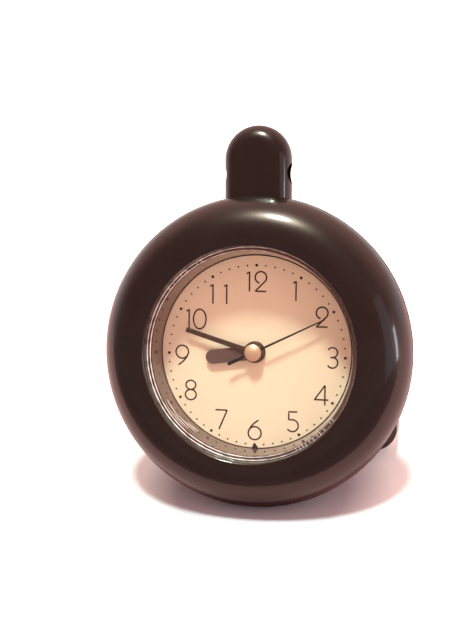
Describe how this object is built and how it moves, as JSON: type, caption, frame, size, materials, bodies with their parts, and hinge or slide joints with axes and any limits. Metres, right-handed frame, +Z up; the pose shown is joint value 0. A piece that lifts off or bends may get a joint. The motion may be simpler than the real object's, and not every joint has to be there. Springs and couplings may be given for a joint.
{
  "type": "desk clock",
  "caption": "Round leaning desk clock with a glossy round-section ring, recessed clear window, numbered dial and hands, an upright bored hanging tab and a screw-off rear cap.",
  "frame": {"origin": "centre of the overall box on the table", "axes": "+Z up, +X to the viewer's right, the dial faces -Y and leans back"},
  "size_m": [0.1, 0.0792, 0.115],
  "materials": {
    "black_gloss": "gloss",
    "black_satin": "satin",
    "clear_window": "gloss",
    "soft_seal": "matte",
    "dial_card": "matte",
    "carrier_plastic": "matte",
    "spacer_brown": "gloss",
    "carrier_dark": "matte",
    "movement_plastic": "matte",
    "wheel_plastic": "satin",
    "zinc_steel": "satin",
    "nickel_brass": "satin",
    "magnet": "satin",
    "copper_wire": "satin",
    "board_green": "matte",
    "chip_black": "matte",
    "cell_wrap": "gloss",
    "contact_spring": "satin",
    "hand_dark": "satin",
    "hand_grey": "satin",
    "hand_black": "satin",
    "rose_metal": "satin"
  },
  "bodies": {
    "case": {"front_bezel": "black_gloss", "rear_housing": "black_gloss", "hanging_tab": "black_gloss", "lens": "clear_window", "case_gasket": "soft_seal", "lens_gasket": "soft_seal", "foot_pads": "soft_seal", "stem_washer": "soft_seal", "dial": "dial_card", "battery_tray": "carrier_plastic", "window_spacer": "spacer_brown", "dial_plate": "carrier_dark", "movement_cover": "movement_plastic", "movement_base": "movement_plastic", "coil_bobbin": "wheel_plastic", "case_screws": "zinc_steel", "movement_screws": "zinc_steel", "stator": "zinc_steel", "coil_core": "zinc_steel", "crystal_can": "zinc_steel", "stem_nut": "nickel_brass", "coil_winding": "copper_wire", "circuit_board": "board_green", "driver_chip": "chip_black", "battery": "cell_wrap", "contact_positive": "contact_spring", "contact_negative": "contact_spring"},
    "rotor": {"rotor_magnet": "magnet", "rotor_pinion": "wheel_plastic"},
    "intermediate": {"intermediate_wheel": "wheel_plastic"},
    "seconds": {"second_wheel": "wheel_plastic", "second_hand": "hand_black", "centre_cap": "rose_metal"},
    "third": {"third_wheel": "wheel_plastic"},
    "minutes": {"centre_wheel": "wheel_plastic", "minute_hand": "hand_grey"},
    "motion": {"minute_wheel": "wheel_plastic"},
    "hours": {"hour_wheel": "wheel_plastic", "hour_hand": "hand_dark"},
    "setting": {"setting_arbor": "wheel_plastic", "set_knob": "black_satin"},
    "cap_carrier": {"cap_seal": "soft_seal"},
    "cap": {"rear_cap": "black_satin"}
  },
  "joints": [
    {"name": "second_hand_turn", "type": "hinge", "parent": "case", "child": "seconds", "pos_m": [0, -0.00653, 0.04523], "axis": [0, 0.9397, -0.342], "continuous": true},
    {"name": "minute_hand_turn", "type": "hinge", "parent": "case", "child": "minutes", "pos_m": [0, -0.00653, 0.04523], "axis": [0, 0.9397, -0.342], "continuous": true},
    {"name": "hour_hand_turn", "type": "hinge", "parent": "case", "child": "hours", "pos_m": [0, -0.00653, 0.04523], "axis": [0, 0.9397, -0.342], "continuous": true},
    {"name": "third_wheel_turn", "type": "hinge", "parent": "case", "child": "third", "pos_m": [-0.00935, -0.00468, 0.05031], "axis": [0, 0.9397, -0.342], "continuous": true},
    {"name": "intermediate_wheel_turn", "type": "hinge", "parent": "case", "child": "intermediate", "pos_m": [0.00802, -0.00773, 0.04194], "axis": [0, 0.9397, -0.342], "continuous": true},
    {"name": "rotor_turn", "type": "hinge", "parent": "case", "child": "rotor", "pos_m": [0.01303, -0.00886, 0.03884], "axis": [0, 0.9397, -0.342], "continuous": true},
    {"name": "minute_wheel_turn", "type": "hinge", "parent": "case", "child": "motion", "pos_m": [0, -0.00397, 0.05228], "axis": [0, 0.9397, -0.342], "continuous": true},
    {"name": "set_knob_turn", "type": "hinge", "parent": "case", "child": "setting", "pos_m": [0, -0.0014, 0.05933], "axis": [0, 0.9397, -0.342], "continuous": true},
    {"name": "rear_cap_travel", "type": "slide", "parent": "case", "child": "cap_carrier", "axis": [0, 0.9397, -0.342], "range_m": [0, 0.006]},
    {"name": "rear_cap_turn", "type": "hinge", "parent": "cap_carrier", "child": "cap", "pos_m": [0, 0.02617, 0.03333], "axis": [0, 0.9397, -0.342], "range_deg": [0, 1081]}
  ],
  "couplings": [
    {"joint": "minute_hand_turn", "follows": "second_hand_turn", "ratio": 0.016667},
    {"joint": "hour_hand_turn", "follows": "second_hand_turn", "ratio": 0.0013889},
    {"joint": "third_wheel_turn", "follows": "second_hand_turn", "ratio": -0.125},
    {"joint": "intermediate_wheel_turn", "follows": "second_hand_turn", "ratio": -6},
    {"joint": "rotor_turn", "follows": "second_hand_turn", "ratio": 30},
    {"joint": "minute_wheel_turn", "follows": "second_hand_turn", "ratio": -0.0055556},
    {"joint": "set_knob_turn", "follows": "second_hand_turn", "ratio": 0.016667},
    {"joint": "rear_cap_turn", "follows": "rear_cap_travel", "rad_per_m": 3141.6}
  ]
}
